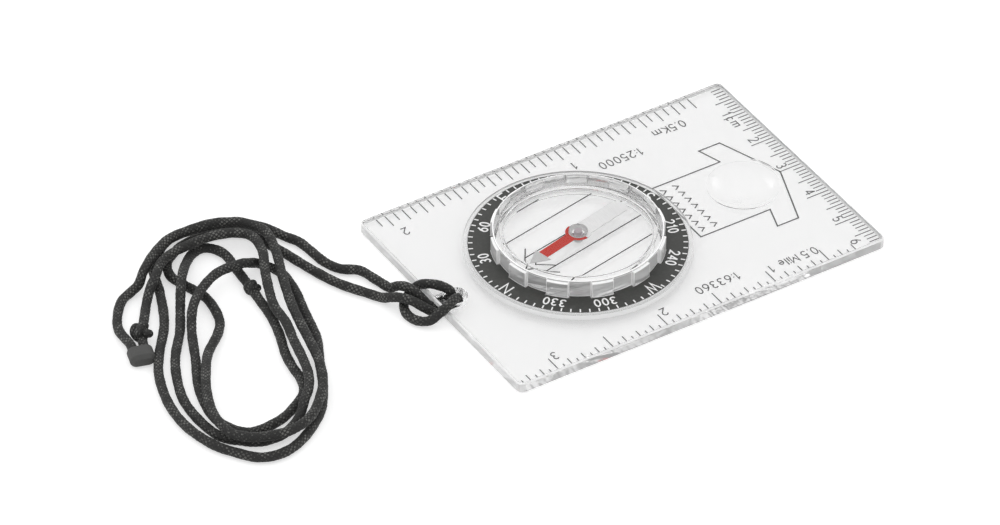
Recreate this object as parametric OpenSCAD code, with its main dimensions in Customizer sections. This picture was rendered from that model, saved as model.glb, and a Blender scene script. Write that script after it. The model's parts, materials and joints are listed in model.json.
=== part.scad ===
// Baseplate compass: a clear ruler plate with a turning dial, a liquid-filled capsule and a neck cord.
// +Z is up, +Y is the direction of travel, and the origin lies under the middle of the plate.

/* [Base plate] */
// Width of the plate, across the direction of travel
plate_w = 60; // [56:1:72]
// Length of the plate, along the direction of travel
plate_l = 86; // [84:1:110]
// Thickness of the plate
plate_t = 2.5; // [2.2:0.1:4]
// Radius of the plate's corners
corner_r = 1.5; // [1:0.5:5]
// Bevel on the upper and lower edges of the plate
edge_bevel = 0.35; // [0.1:0.05:0.8]
// Distance of the dial's axis behind the middle of the plate
dial_back = 10.4; // [8:0.2:12]
// Diameter of the cord hole near the back edge
cord_hole_d = 5; // [4.6:0.1:5.6]
// Distance of the cord hole's middle from the back edge
cord_hole_inset = 4; // [3.6:0.1:5]
// Depth of the relief under the back edge that the cord lies in
relief_depth = 1.3; // [1.2:0.05:1.5]
// Width of that relief
relief_w = 5.4; // [5.2:0.1:8]

/* [Magnifying lens] */
// Diameter of the lens moulded into the plate
lens_d = 14.8; // [8:0.2:17]
// Height of the lens above the plate
lens_rise = 0.9; // [0.4:0.1:2]
// Distance of the lens's middle from the front edge
lens_inset = 14.2; // [11:0.2:18]

/* [Scales] */
// Thickness of the ink on the underside
ink_t = 0.06; // [0.03:0.01:0.12]
// Width of a scale line
line_w = 0.22; // [0.12:0.02:0.4]
// Height of the figures
figure_h = 2.1; // [1.6:0.1:2.4]
// Width of the figures' strokes
stroke_w = 0.24; // [0.16:0.02:0.36]
// Spacing of the ruler's lines
ruler_pitch = 1; // [0.8:0.1:1.4]
// Length of the ruler's short lines
ruler_short = 2.7; // [1.6:0.1:3]
// Length of every fifth line
ruler_mid = 4.2; // [3.2:0.1:4.6]
// Length of every tenth line
ruler_long = 5.5; // [4.8:0.1:6]
// Distance of the side scales' first lines from the front edge
scale_start = 6.2; // [6.2:0.1:9]
// Length of a kilometre on the left scale
km_l = 40; // [30:1:60]
// Length of that scale's long lines
km_long = 3.8; // [3:0.1:4.6]
// Length of that scale's short lines
km_short = 2.8; // [1.6:0.1:2.8]
// Distance of that scale's figures from the left edge
km_figures_in = 6.5; // [6:0.1:7]
// Length of a mile on the right scale
mile_l = 25.4; // [20:0.1:32]
// Length of that scale's lines at each half mile
mile_long = 5.2; // [4:0.1:6]
// Length of its lines at each eighth of a mile
mile_mid = 3.3; // [2.6:0.1:3.8]
// Length of its lines at each sixteenth of a mile
mile_short = 2.4; // [1.4:0.1:2.5]
// Distance of that scale's figures from the right edge
mile_figures_in = 5.3; // [5.2:0.1:6]

/* [Travel arrow] */
// Width of the outline
arrow_line_w = 0.3; // [0.16:0.02:0.5]
// Half width of the shaft
arrow_shaft = 9; // [8:0.2:10]
// Half width of the head
arrow_head = 14.2; // [12:0.2:16]
// Distance of the point from the front edge
arrow_inset = 5.2; // [5:0.1:8]
// Drop from the point to the head's corners
arrow_slant = 5.2; // [3:0.1:7]
// Height of the head's corners
arrow_corner = 5; // [3:0.2:7]
// Rise of the head's underside towards the shaft
arrow_notch = 1.7; // [0:0.1:3]
// Gap between the shaft's foot and the dial
arrow_gap = 0.2; // [0.1:0.1:1]
// Width of a chevron in the shaft
chevron_w = 1.5; // [1:0.1:1.8]
// Height of a chevron
chevron_h = 1.1; // [0.6:0.1:1.6]
// Spacing of the chevrons along a row
chevron_pitch = 2.3; // [2.2:0.1:2.6]
// Spacing of the two rows
chevron_rows = 2.9; // [2:0.1:3.4]
// Number of chevrons in a row
chevron_count = 7; // [3:2:7]

/* [Dial] */
// Diameter of the flange's upper edge
flange_d = 45.7; // [44:0.1:48]
// Flare of the flange, from its upper to its lower edge
flange_flare = 0.15; // [0.05:0.05:0.4]
// Thickness of the flange
flange_t = 1; // [0.7:0.05:1.4]
// Width of the clear border outside the black ring
border_w = 1; // [0.6:0.1:1.6]
// Height of the grip wall above the flange
grip_h = 3.85; // [3.4:0.05:5]
// Diameter over the grip lugs
lug_d = 35; // [34.6:0.1:35.6]
// Diameter of the plain rim above the lugs
rim_d = 34; // [33.8:0.1:34.4]
// Depth of the windows between the lugs, below the rim
window_depth = 0.2; // [0.1:0.05:0.3]
// Height of the rim
rim_h = 0.5; // [0.3:0.05:0.9]
// Number of lugs
lug_count = 12; // [6:1:18]
// Inside diameter of the grip wall
wall_in_d = 31.5; // [31.2:0.1:31.8]
// Thickness of the black ring
ring_t = 0.15; // [0.1:0.01:0.25]
// Thickness of the white printing on the ring
print_t = 0.05; // [0.02:0.01:0.08]
// Height of the figures on the dial
dial_figure_h = 2; // [1.6:0.1:2.2]
// Height of the letters on the dial
dial_letter_h = 2.7; // [2.2:0.1:2.8]
// Width of the figures' and letters' strokes
dial_stroke = 0.32; // [0.2:0.02:0.4]
// Length of the dial's lines, one at every five degrees
dial_tick = 0.9; // [0.5:0.05:1]
// Width of the dial's lines
dial_line = 0.26; // [0.16:0.02:0.4]
// Turn of the dial's north from the travel direction, clockwise from above
dial_turn = 166.5; // [0:0.5:359]

/* [Bearing] */
// Running gap between the dial's hub and the plate's bore
run_gap = 0.08; // [0.04:0.01:0.1]
// Height of the gap under the flange and over the retaining ring
lift_gap = 0.15; // [0.1:0.01:0.3]
// Wall of the hub below the flange
hub_wall = 0.78; // [0.7:0.02:0.9]
// Height of the hub's underside above the table
hub_lift = 0.15; // [0.1:0.05:0.2]
// Thickness of the hub's lip under the retaining ring
lip_t = 0.25; // [0.2:0.01:0.3]
// Width of the retaining ring
retainer_w = 2; // [1.4:0.1:2.4]
// Thickness of the retaining ring
retainer_t = 0.5; // [0.4:0.05:0.6]
// Depth of the groove that holds the ring
groove_depth = 0.35; // [0.2:0.05:0.45]
// Opening of the split ring, in degrees
retainer_slot = 8; // [4:1:20]

/* [Capsule] */
// Gap between the capsule and the grip wall
capsule_gap = 0.05; // [0.02:0.01:0.1]
// Thickness of the ledge in the hub that carries the capsule
ledge_t = 0.2; // [0.15:0.05:0.3]
// Width of that ledge
ledge_w = 0.6; // [0.3:0.1:1]
// Thickness of the capsule's floor
floor_t = 1.15; // [0.8:0.05:1.4]
// Wall of the capsule
capsule_wall = 0.7; // [0.5:0.05:0.8]
// Thickness of the cover
cover_t = 0.5; // [0.4:0.05:0.6]
// Spacing of the north lines on the capsule's floor
north_pitch = 5.8; // [5:0.1:5.9]
// Width of a north line
north_line_w = 0.26; // [0.16:0.02:0.4]
// Turn of the north lines from the dial's north, clockwise from above
north_turn = 2.5; // [-5:0.5:5]
// Gap between the lines' ends and the capsule's wall
line_gap = 0.2; // [0.1:0.05:0.5]
// Half width of the orienting arrow's head
orient_head = 5; // [4:0.1:6]

/* [Needle] */
// Distance of the needle's ends from the pivot
needle_r = 13.8; // [11:0.1:14.2]
// Width of the north half's shaft
shaft_w = 2.35; // [1.4:0.05:3]
// Width of the north point
point_w = 4.3; // [3:0.1:5]
// Length of the north point
point_l = 3.9; // [3:0.1:6]
// Width of the south half
tail_w = 4; // [2:0.1:4.6]
// Diameter of the needle's hub
needle_hub_d = 5.2; // [4.8:0.1:6]
// Thickness of the steel blade
blade_t = 0.2; // [0.1:0.02:0.3]
// Thickness of the paint
paint_t = 0.05; // [0.03:0.01:0.08]
// Height of the blade above the capsule's floor
blade_lift = 3.35; // [2.8:0.05:3.4]
// Diameter of the clear cap over the jewel
cap_d = 3.8; // [3:0.1:4]
// Height of the clear cap
cap_h = 1.85; // [1.4:0.05:1.9]
// Height of the dome that ends the cap
dome_rise = 0.9; // [0.5:0.05:1.2]
// Diameter of the jewel
jewel_d = 1.5; // [1.2:0.05:1.8]
// Height of the jewel
jewel_h = 0.9; // [0.7:0.05:1]
// Diameter of the pivot's foot
foot_d = 2; // [1.4:0.1:3]
// Height of the pivot's foot
foot_h = 1.1; // [0.8:0.1:1.6]
// Diameter of the pivot pin
pin_d = 0.5; // [0.3:0.05:0.6]
// Gap between the pin's point and the jewel
pin_gap = 0.04; // [0.02:0.01:0.08]

/* [Neck cord] */
// Diameter of the cord
cord_d = 2; // [1.6:0.1:2]
// Width of the end cap, across the two ends of the cord
end_cap_w = 5.2; // [5:0.1:6.5]
// Thickness of the end cap
end_cap_h = 3; // [2.6:0.1:3]
// Length of the end cap
end_cap_l = 3.6; // [3:0.1:8]

/* [Hidden] */
$fn = 96;
// Overrun of every cut
cut = 0.1;
full_turn = 360;

// Edges of the plate and the dial's axis
front_y = plate_l / 2;
back_y = -plate_l / 2;
side_x = plate_w / 2;
dial_y = -dial_back;

// Radii about the dial's axis, from the inside outwards
capsule_r = wall_in_d / 2 - capsule_gap;
capsule_in_r = capsule_r - capsule_wall;
hub_in_r = wall_in_d / 2;
hub_r = hub_in_r + hub_wall;
bore_r = hub_r + run_gap;
groove_r = hub_r - groove_depth;
retainer_in_r = groove_r + capsule_gap;
retainer_r = retainer_in_r + retainer_w;
counterbore_r = retainer_r + lift_gap;
rim_r = rim_d / 2;
window_r = rim_r - window_depth;
lug_r = lug_d / 2;
flange_r = flange_d / 2;
ring_r = flange_r - border_w;

// Heights, from the table upwards
groove_z = hub_lift + lip_t;
groove_h = retainer_t + capsule_gap;
counterbore_z = groove_z + retainer_t + lift_gap;
capsule_z = hub_lift + ledge_t;
floor_z = capsule_z + floor_t;
flange_z = plate_t + lift_gap;
flange_top = flange_z + flange_t;
marks_z = flange_top - print_t;
ring_z = marks_z - ring_t;
rim_top = flange_top + grip_h;
lug_top = rim_top - rim_h;
cover_z = rim_top - cover_t;
blade_z = floor_z + blade_lift;
blade_top = blade_z + blade_t;
cap_top = blade_top + cap_h;
jewel_top = blade_z + jewel_h;

// Directions of the dial's north and of the capsule's north lines, from +X
north = 90 - dial_turn;
lines = north - north_turn;
lug_turn = full_turn / lug_count;
lug_width = lug_turn / 2;

// Outline of a line of constant width from its middle line, with mitred corners
function unit(v) = v / norm(v);
function left_of(v) = [-v[1], v[0]];
// Shortest share of its own width that a mitre is measured with, where a corner is sharp
mitre_share = 0.4;
function mitre(p, i, closed) =
    let (n = len(p),
         before = closed ? (i + n - 1) % n : max(i - 1, 0),
         after = closed ? (i + 1) % n : min(i + 1, n - 1),
         a = left_of(before == i ? unit(p[after] - p[i]) : unit(p[i] - p[before])),
         b = left_of(after == i ? unit(p[i] - p[before]) : unit(p[after] - p[i])),
         m = unit(a + b))
    m / max(m * b, mitre_share);
function one_edge(p, w, closed) = [for (i = [0 : len(p) - 1]) p[i] + mitre(p, i, closed) * w / 2];
function reversed(p) = [for (i = [len(p) - 1 : -1 : 0]) p[i]];

// A line of ink along the points p, closed where its last point is its first
module ink_line(p, w) {
    n = len(p);
    closed = p[0] == p[n - 1];
    q = closed ? [for (i = [0 : n - 2]) p[i]] : p;
    m = len(q);
    if (closed)
        polygon(concat(one_edge(q, w, true), one_edge(q, -w, true)),
                [[for (i = [0 : m - 1]) i], [for (i = [m : 2 * m - 1]) i]]);
    else
        polygon(concat(one_edge(q, w, false), reversed(one_edge(q, -w, false))));
}

// Points on an arc about (x, y), in shares of a figure's height
function bow(x, y, rx, ry, from, to, steps) =
    [for (i = [0 : steps]) let (a = from + (to - from) * i / steps) [x + rx * cos(a), y + ry * sin(a)]];

// Middle lines of the figures and letters, in shares of their height
function glyph_shares(c) =
    c == "0" ? [bow(0.3, 0.5, 0.26, 0.5, 0, full_turn, 12)] :
    c == "1" ? [[[0.08, 0.76], [0.3, 1], [0.3, 0]]] :
    c == "2" ? [concat(bow(0.3, 0.72, 0.26, 0.28, 170, -35, 6), [[0.04, 0], [0.58, 0]])] :
    c == "3" ? [bow(0.28, 0.75, 0.24, 0.25, 150, -90, 5), bow(0.28, 0.26, 0.27, 0.26, 90, -150, 5)] :
    c == "4" ? [[[0.44, 0], [0.44, 1]], [[0.44, 1], [0.04, 0.3], [0.6, 0.3]]] :
    c == "5" ? [concat([[0.53, 1], [0.12, 1], [0.08, 0.54]], bow(0.29, 0.31, 0.27, 0.31, 110, -145, 6))] :
    c == "6" ? [bow(0.3, 0.3, 0.26, 0.3, 0, full_turn, 12), [[0.46, 1], [0.15, 0.66], [0.04, 0.32]]] :
    c == "7" ? [[[0.04, 1], [0.56, 1], [0.2, 0]]] :
    c == "8" ? [bow(0.3, 0.77, 0.2, 0.23, 0, full_turn, 10), bow(0.3, 0.27, 0.26, 0.27, 0, full_turn, 12)] :
    c == "9" ? [bow(0.3, 0.7, 0.26, 0.3, 0, full_turn, 12), [[0.56, 0.68], [0.45, 0.34], [0.14, 0]]] :
    c == "N" ? [[[0, 0], [0, 1], [0.6, 0], [0.6, 1]]] :
    c == "E" ? [[[0.55, 1], [0, 1], [0, 0], [0.55, 0]], [[0, 0.52], [0.48, 0.52]]] :
    c == "S" ? [concat(bow(0.3, 0.75, 0.25, 0.25, 25, 255, 6), bow(0.3, 0.26, 0.27, 0.26, 75, -155, 6))] :
    c == "W" ? [[[0, 1], [0.22, 0], [0.45, 0.9], [0.68, 0], [0.9, 1]]] :
    c == "M" ? [[[0, 0], [0, 1], [0.36, 0.3], [0.72, 1], [0.72, 0]]] :
    c == "K" ? [[[0, 0], [0, 1]], [[0.5, 1], [0.04, 0.46], [0.54, 0]]] :
    c == "c" ? [bow(0.27, 0.31, 0.24, 0.31, 45, 315, 6)] :
    c == "e" ? [[[0.06, 0.32], [0.48, 0.32]], bow(0.27, 0.31, 0.23, 0.31, 5, 310, 7)] :
    c == "m" ? [[[0, 0], [0, 0.62], [0.76, 0.62], [0.76, 0]], [[0.38, 0], [0.38, 0.62]]] :
    c == "i" ? [[[0, 0], [0, 0.62]], [[0, 0.8], [0, 0.92]]] :
    c == "l" ? [[[0, 0], [0, 1]]] :
    c == ":" ? [[[0, 0.1], [0, 0.22]], [[0, 0.5], [0, 0.62]]] :
    c == "." ? [[[0, 0], [0, 0.12]]] : [];
// Width that each takes in a row, with the space after it
space_share = 0.24;
function width_share(c) =
    c == "m" ? 1 : c == "W" ? 1.14 : c == "M" ? 0.96 : c == " " ? 0.3 :
    c == "i" || c == "l" || c == ":" || c == "." ? 0.26 : c == "1" ? 0.62 : 0.82;
function row_share(s, count) = count == 0 ? 0 : width_share(s[count - 1]) + row_share(s, count - 1);
function row_length(s, h) = (row_share(s, len(s)) - space_share) * h;

// A row of figures centred on the origin
module figures(s, h, w) {
    for (k = [0 : len(s) - 1], stroke = glyph_shares(s[k]))
        translate([row_share(s, k) * h - row_length(s, h) / 2, -h / 2]) ink_line(stroke * h, w);
}

// Base plate with its lens, the dial's bore, the cord hole and the relief for the cord
module edge_profile(w) {
    flat = w / 2 - edge_bevel;
    upper = plate_t - edge_bevel;
    polygon([[-flat, 0], [flat, 0], [w / 2, edge_bevel], [w / 2, upper], [flat, plate_t], [-flat, plate_t],
             [-w / 2, upper], [-w / 2, edge_bevel]]);
}

module corner() {
    rotate_extrude()
        intersection() {
            edge_profile(2 * corner_r);
            square([corner_r, plate_t]);
        }
}

module plate_blank() {
    rotate([90, 0, 0])
        linear_extrude(plate_l - 2 * corner_r, center = true) edge_profile(plate_w);
    rotate([90, 0, 90])
        linear_extrude(plate_w - 2 * corner_r, center = true) edge_profile(plate_l);
    for (x = [corner_r - side_x, side_x - corner_r], y = [back_y + corner_r, front_y - corner_r])
        translate([x, y, 0]) corner();
}

// Part of a sphere of the given rise, standing on z = 0 and rooted a little below it
function dome_r(d, rise) = (d * d / 4 + rise * rise) / (2 * rise);
module dome(d, rise, root) {
    intersection() {
        translate([0, 0, rise - dome_r(d, rise)]) sphere(dome_r(d, rise));
        translate([0, 0, -root]) cylinder(h = root + 2 * rise, d = d);
    }
}

module base_plate() {
    color("gainsboro")
    difference() {
        union() {
            plate_blank();
            translate([0, front_y - lens_inset, plate_t]) dome(lens_d, lens_rise, plate_t / 2);
        }
        translate([0, dial_y, -cut]) cylinder(h = plate_t + 2 * cut, r = bore_r);
        translate([0, dial_y, -cut]) cylinder(h = counterbore_z + cut, r = counterbore_r);
        translate([0, back_y + cord_hole_inset, -cut]) cylinder(h = plate_t + 2 * cut, d = cord_hole_d);
        translate([-relief_w / 2, back_y - cut, -cut])
            cube([relief_w, cord_hole_inset + cut, relief_depth + cut]);
    }
}

// Ink printed into the underside of the plate
module ink() {
    color("dimgray") linear_extrude(ink_t) children();
}

// How far the rounded corners draw the plate's edge in, at a distance d from the edge beside it
function corner_inset(d) = d < corner_r ? corner_r - sqrt(pow(corner_r, 2) - pow(corner_r - d, 2)) : 0;
function line_start(d) = edge_bevel + corner_inset(d);

function ruler_line(k) = k % 10 == 0 ? ruler_long : k % 5 == 0 ? ruler_mid : ruler_short;
// Distance from a ruler line to the middle of the figure beside it
ruler_figure_in = 1.45;
// Distances by which the last figure keeps clear of the plate's corner
last_figure_side = 2.2;
last_figure_in = 1;
module cm_scale() {
    last = floor((plate_w - corner_r / 2) / ruler_pitch);
    figure_y = front_y - ruler_short - edge_bevel / 2 - figure_h / 2;
    ink() {
        for (k = [1 : last]) {
            x = k * ruler_pitch - side_x;
            start = line_start(min(x + side_x, side_x - x));
            translate([x - line_w / 2, front_y - ruler_line(k)]) square([line_w, ruler_line(k) - start]);
        }
        for (k = [10 : 10 : plate_w / ruler_pitch])
            let (clear = (k + 10) * ruler_pitch > plate_w ? 1 : 0)
                translate([k * ruler_pitch - ruler_figure_in - side_x - clear * last_figure_side,
                           figure_y - clear * last_figure_in])
                    figures(str(k / 10), figure_h, stroke_w);
        translate([10 * ruler_pitch + ruler_figure_in - side_x, figure_y]) figures("cm", figure_h, stroke_w);
    }
}

// Figures that are read from the right side of the plate
module side_figures(s, x, y) {
    translate([x, y]) rotate(-90) figures(s, figure_h, stroke_w);
}

// Millimetres in a kilometre and in a mile, for the figures that give each map scale
km_mm = 1000000;
mile_mm = 1609344;
km_pitch = km_l / 20;
module km_scale() {
    function km_line(k) = k % 2 == 0 ? km_long : km_short;
    map_scale = str("1:", round(km_mm / km_l));
    ink() {
        for (k = [ceil(scale_start / km_pitch) : floor((plate_l - corner_r) / km_pitch) - 1]) {
            y = front_y - k * km_pitch;
            start = line_start(min(front_y - y, y - back_y));
            translate([start - side_x, y - line_w / 2]) square([km_line(k) - start, line_w]);
        }
        x = km_figures_in - side_x;
        half_y = front_y - km_l / 2;
        side_figures("0.5Km", x, half_y + row_length("0.5Km", figure_h) / 2);
        for (k = [1 : floor((plate_l - corner_r) / km_l)])
            side_figures(str(k), x, front_y - k * km_l + row_length(str(k), figure_h) / 2 + 2 * stroke_w);
        side_figures(map_scale, x + figure_h + 4 * stroke_w, half_y - row_length(map_scale, figure_h));
    }
}

mile_pitch = mile_l / 16;
module mile_scale() {
    function mile_line(k) = k % 8 == 0 ? mile_long : k % 2 == 0 ? mile_mid : mile_short;
    map_scale = str("1:", round(mile_mm / mile_l));
    ink() {
        for (k = [ceil(scale_start / mile_pitch) : floor((plate_l - corner_r / 2) / mile_pitch)]) {
            y = front_y - k * mile_pitch;
            start = line_start(min(front_y - y, y - back_y));
            translate([side_x - mile_line(k), y - line_w / 2]) square([mile_line(k) - start, line_w]);
        }
        x = side_x - mile_figures_in;
        half_y = front_y - mile_l / 2;
        side_figures("0.5 Mile", x - stroke_w, half_y - row_length("0.5 Mile", figure_h) / 2 - stroke_w);
        for (k = [1 : floor((plate_l - corner_r) / mile_l)])
            side_figures(str(k), x, front_y - k * mile_l + 3 * figure_h / 4);
        side_figures(map_scale, x - figure_h + stroke_w,
                     half_y - mile_l / 2 - row_length(map_scale, figure_h));
    }
}

arrow_point = front_y - arrow_inset;
arrow_foot = dial_y + flange_r + flange_flare + arrow_gap;
module travel_arrow() {
    corner_y = arrow_point - arrow_slant;
    notch_y = corner_y - arrow_corner;
    half = [[arrow_shaft, arrow_foot], [arrow_shaft, notch_y + arrow_notch], [arrow_head, notch_y],
            [arrow_head, corner_y], [0, arrow_point]];
    other = [for (i = [len(half) - 2 : -1 : 0]) [-half[i][0], half[i][1]]];
    ink() ink_line(concat(half, other, [half[0]]), arrow_line_w);
}

module travel_chevrons() {
    ink()
        for (row = [0, 1], k = [0 : chevron_count - 1])
            translate([(k - (chevron_count - 1) / 2) * chevron_pitch,
                       arrow_foot + chevron_h + row * chevron_rows])
                ink_line([[-chevron_w / 2, 0], [0, chevron_h], [chevron_w / 2, 0]], stroke_w);
}

// Everything on the dial is drawn about the origin and then set on the dial's axis
module on_axis() {
    translate([0, dial_y, 0]) children();
}

// Twelve lugs, one at each of the dial's figures, between the radii and heights given
module lugs(from, to, low, high, width) {
    for (k = [0 : lug_count - 1])
        rotate(north - k * lug_turn - width / 2)
            rotate_extrude(angle = width)
                translate([from, low]) square([to - from, high - low]);
}

module bezel_ring() {
    recess_r = ring_r + capsule_gap;
    color("whitesmoke") on_axis() {
        rotate_extrude()
            polygon([[hub_in_r - ledge_w, hub_lift], [hub_r, hub_lift], [hub_r, groove_z],
                     [groove_r, groove_z], [groove_r, groove_z + groove_h], [hub_r, groove_z + groove_h],
                     [hub_r, flange_z],
                     [flange_r + flange_flare, flange_z], [flange_r, flange_top], [recess_r, flange_top],
                     [recess_r, ring_z], [window_r, ring_z], [window_r, lug_top], [rim_r, lug_top],
                     [rim_r, rim_top], [hub_in_r, rim_top], [hub_in_r, capsule_z],
                     [hub_in_r - ledge_w, capsule_z]]);
        lugs(window_r - window_depth, lug_r, ring_z - cut, lug_top, lug_width);
    }
}

// The black ring goes round the lugs, and each of its notches is wider than its lug by an angle
notch_turn = 1;
module dial_ring() {
    color("dimgray") on_axis()
        difference() {
            translate([0, 0, ring_z]) linear_extrude(ring_t)
                difference() {
                    circle(ring_r);
                    circle(window_r + capsule_gap);
                }
            lugs(window_r - window_depth, lug_r + capsule_gap, ring_z - cut, marks_z + cut,
                 lug_width + notch_turn);
        }
}

// Lines, figures and letters at their bearings
tick_gap = 0.1;
letters = ["N", "E", "S", "W"];
figure_r = lug_r + capsule_gap + tick_gap + (ring_r - dial_tick - tick_gap - lug_r) / 2 - tick_gap;
letter_r = ring_r - 2 * tick_gap - dial_letter_h / 2;
module at_bearing(b, r) {
    rotate(north - b - 90) translate([0, r]) children();
}
module dial_marks() {
    color("white") on_axis() translate([0, 0, marks_z]) linear_extrude(print_t) {
        for (b = [0 : 5 : full_turn - 5])
            if (b % 90 != 0)
                at_bearing(b, ring_r - tick_gap - dial_tick)
                    translate([-dial_line / 2, 0]) square([dial_line, dial_tick]);
        for (b = [0 : 30 : full_turn - 30])
            if (b % 90 == 0)
                at_bearing(b, letter_r) figures(letters[b / 90], dial_letter_h, dial_stroke);
            else
                at_bearing(b, figure_r) figures(str(b), dial_figure_h, dial_stroke);
    }
}

// Split ring that snaps into the hub's groove under the plate
module retaining_ring() {
    color("whitesmoke") on_axis()
        rotate(north + retainer_slot / 2)
            rotate_extrude(angle = full_turn - retainer_slot)
                translate([retainer_in_r, groove_z]) square([retainer_w, retainer_t]);
}

module capsule_body() {
    color("ghostwhite") on_axis()
        rotate_extrude()
            polygon([[0, capsule_z], [capsule_r, capsule_z], [capsule_r, cover_z], [capsule_in_r, cover_z],
                     [capsule_in_r, floor_z], [0, floor_z]]);
}

module capsule_cover() {
    bevel = cover_t / 4;
    color("ghostwhite") on_axis()
        rotate_extrude()
            polygon([[0, cover_z], [capsule_r, cover_z], [capsule_r, rim_top - bevel],
                     [capsule_r - bevel, rim_top], [0, rim_top]]);
}

// Lines on the capsule's floor, along the direction called lines
reach = capsule_in_r - line_gap;
module floor_ink() {
    color("dimgray") on_axis() translate([0, 0, floor_z]) rotate(lines) linear_extrude(ink_t) children();
}
function half_chord(e) = sqrt(pow(reach, 2) - pow(e, 2));

module north_lines() {
    floor_ink()
        for (side = [-1, 1], k = [1 : floor(reach / north_pitch - 1 / 2)]) {
            e = side * (k + 1 / 2) * north_pitch;
            translate([-half_chord(e), e - north_line_w / 2]) square([2 * half_chord(e), north_line_w]);
        }
}

// Share of the reach at which the arrow's head leaves its shafts
head_share = 0.79;
// Depth of the arrow's second head behind its first
second_head = 3;
module orienting_arrow() {
    e = north_pitch / 2;
    head_x = head_share * reach;
    second_x = head_x - second_head;
    slope = (reach - head_x - north_line_w) / e;
    barb = head_x - (orient_head - e) * slope;
    floor_ink() {
        for (side = [-1, 1])
            translate([-half_chord(e), side * e - north_line_w / 2])
                square([half_chord(e) + head_x, north_line_w]);
        ink_line([[barb, -orient_head], [head_x + e * slope, 0], [barb, orient_head]], north_line_w);
        ink_line([[second_x, -e], [second_x + e * slope, 0], [second_x, e]], north_line_w);
    }
}

// Steel pin with its point in the needle's jewel, pressed into a foot on the capsule's floor
pin_cone = jewel_h / 2;
pin_top = jewel_top - jewel_h / 4 - pin_gap;
pin_z = floor_z + foot_h / 4;
module pivot_foot() {
    color("ghostwhite") on_axis() translate([0, 0, floor_z])
        difference() {
            rotate_extrude()
                polygon([[0, 0], [foot_d / 2, 0], [foot_d / 2, foot_h / 2], [pin_d, foot_h], [0, foot_h]]);
            translate([0, 0, pin_z - floor_z]) cylinder(h = foot_h, d = pin_d);
        }
}

module pivot_pin() {
    color("silver") on_axis()
        rotate_extrude()
            polygon([[0, pin_z], [pin_d / 2, pin_z], [pin_d / 2, pin_top - pin_cone], [0, pin_top]]);
}

// The needle points along the dial's north, and its blade is drawn with its north half towards +X
neck = needle_r - point_l;
tail_neck = needle_r - tail_w / 2;
hole_d = jewel_d + (cap_d - jewel_d) / 4;
module on_needle(z) {
    on_axis() translate([0, 0, z]) rotate(north) children();
}

module blade_outline() {
    polygon([[0, -shaft_w / 2], [neck, -shaft_w / 2], [neck, -point_w / 2], [needle_r, 0],
             [neck, point_w / 2], [neck, shaft_w / 2], [0, shaft_w / 2], [0, tail_w / 2],
             [-tail_neck, tail_w / 2], [-needle_r, 0], [-tail_neck, -tail_w / 2], [0, -tail_w / 2]]);
    circle(d = needle_hub_d);
}

module needle_blade() {
    color("silver") on_needle(blade_z) linear_extrude(blade_t)
        difference() {
            blade_outline();
            circle(d = hole_d);
        }
}

// Paint on top of the blade from x = from to x = to, outside the clear cap
module paint(from, to) {
    on_needle(blade_top) linear_extrude(paint_t)
        difference() {
            intersection() {
                blade_outline();
                translate([from, -needle_r]) square([to - from, 2 * needle_r]);
            }
            circle(d = cap_d + paint_t);
        }
}

module needle_north_paint() {
    color("tomato") paint(0, neck);
}

module needle_south_paint() {
    color("white") paint(-needle_r, 0);
}

// Clear cap with a spigot in the blade's hole and a socket for the jewel
module needle_cap() {
    color("ghostwhite") on_axis()
        difference() {
            union() {
                translate([0, 0, blade_z]) cylinder(h = blade_t + cut, d = hole_d);
                translate([0, 0, blade_top]) cylinder(h = cap_h - dome_rise, d = cap_d);
                translate([0, 0, cap_top - dome_rise]) dome(cap_d, dome_rise, cut);
            }
            translate([0, 0, blade_z - cut]) cylinder(h = jewel_h + cut, d = jewel_d);
        }
}

module jewel_bearing() {
    color("tomato") on_axis() translate([0, 0, blade_z])
        rotate_extrude()
            polygon([[jewel_d / 3, 0], [jewel_d / 2, 0], [jewel_d / 2, jewel_h], [0, jewel_h],
                     [0, 3 * jewel_h / 4]]);
}

// Neck cord, looped through the cord hole. Each route is measured from the hole's middle at the table.
hitch_route = [
    [-6.5, -11, 2.2], [-4.5, -10.3, 3.3], [-2, -9, 3.7], [0.2, -7, 2.4], [1.3, -5, 0.9],
    [1.4, -3.5, 0.65], [1.4, -1.8, 0.7], [1.3, -0.3, 1.6], [1.4, -0.4, 2.9], [2.3, -1.8, 3.7],
    [3.2, -3.6, 3.6], [3.6, -5.8, 3], [3.2, -7.9, 1.7], [1.2, -9.6, 1.1], [-1.6, -10.2, 1.1],
    [-4.4, -9.1, 1.1], [-6, -7, 1.6], [-5.9, -5, 3], [-4.6, -3.2, 3.6], [-2.6, -1.6, 3.7],
    [-1.4, -0.4, 2.9], [-1.3, -0.3, 1.6], [-1.4, -1.8, 0.7], [-1.4, -3.5, 0.65], [-1.6, -5, 0.9],
    [-3, -6.3, 2.9], [-5, -7.5, 4.1], [-7.4, -8.2, 3.3], [-9, -8.6, 2.1]];
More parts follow.
